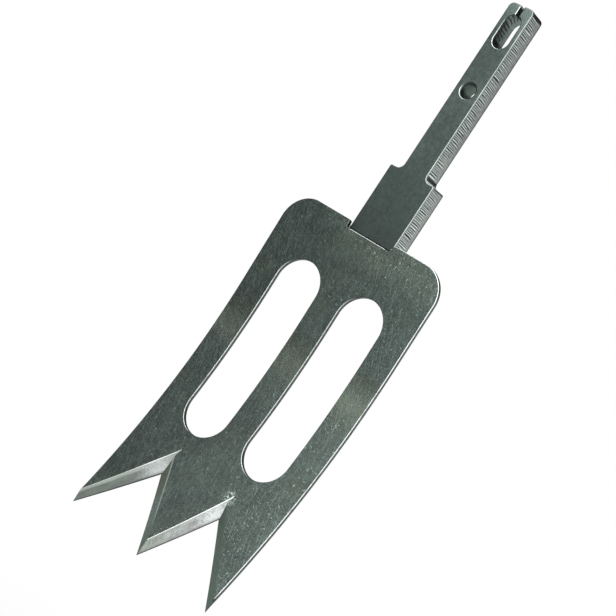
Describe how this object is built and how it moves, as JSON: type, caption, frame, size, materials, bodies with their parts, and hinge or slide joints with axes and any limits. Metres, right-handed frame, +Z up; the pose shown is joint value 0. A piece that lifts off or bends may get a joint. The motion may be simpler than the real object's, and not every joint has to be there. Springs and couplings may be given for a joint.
{
  "type": "fork hoe head",
  "caption": "Curved slotted steel hoe blade with pointed, bevelled tines, welded to a flat-bar shank whose forked tang has a cross hole and a key slot.",
  "frame": {"origin": "middle of the tang's cross hole, halfway through the bar", "axes": "+Z up the shank to the tang's tip, +Y along the cross hole from the blade's hollow side to its back, +X across the blade"},
  "size_m": [0.11, 0.0316, 0.3405],
  "materials": {
    "shank_steel": "flat bar with its rolled front and flame-cut, striated sides",
    "blade_steel": "fine ground sheet, bright on the bevels",
    "weld_steel": "rippled weld bead"
  },
  "bodies": {
    "root": {"shank": "shank_steel", "blade": "blade_steel", "weld_left": "weld_steel", "weld_right": "weld_steel", "weld_end": "weld_steel"}
  },
  "joints": []
}
